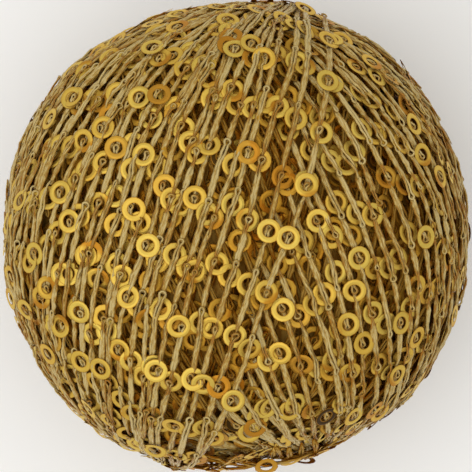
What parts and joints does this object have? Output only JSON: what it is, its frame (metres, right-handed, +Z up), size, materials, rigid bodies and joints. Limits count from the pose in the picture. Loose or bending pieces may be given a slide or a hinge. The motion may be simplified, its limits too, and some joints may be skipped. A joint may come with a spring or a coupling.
{
  "type": "ball of sequin yarn",
  "caption": "Small machine-wound ball of chain-stitched yarn strung with gold ring sequins, slightly squashed and lying on its side on a small flat spot.",
  "frame": {"origin": "middle of the underside, on the floor, under the middle of the ball", "axes": "+Y along the winding axis, +Z up"},
  "size_m": [0.0596, 0.0596, 0.0496],
  "materials": {
    "yarn": "chain-stitched straw-coloured thread",
    "sequins": "metallised gold film, semi-gloss"
  },
  "bodies": {
    "root": {"yarn_ball": "yarn"}
  },
  "joints": []
}
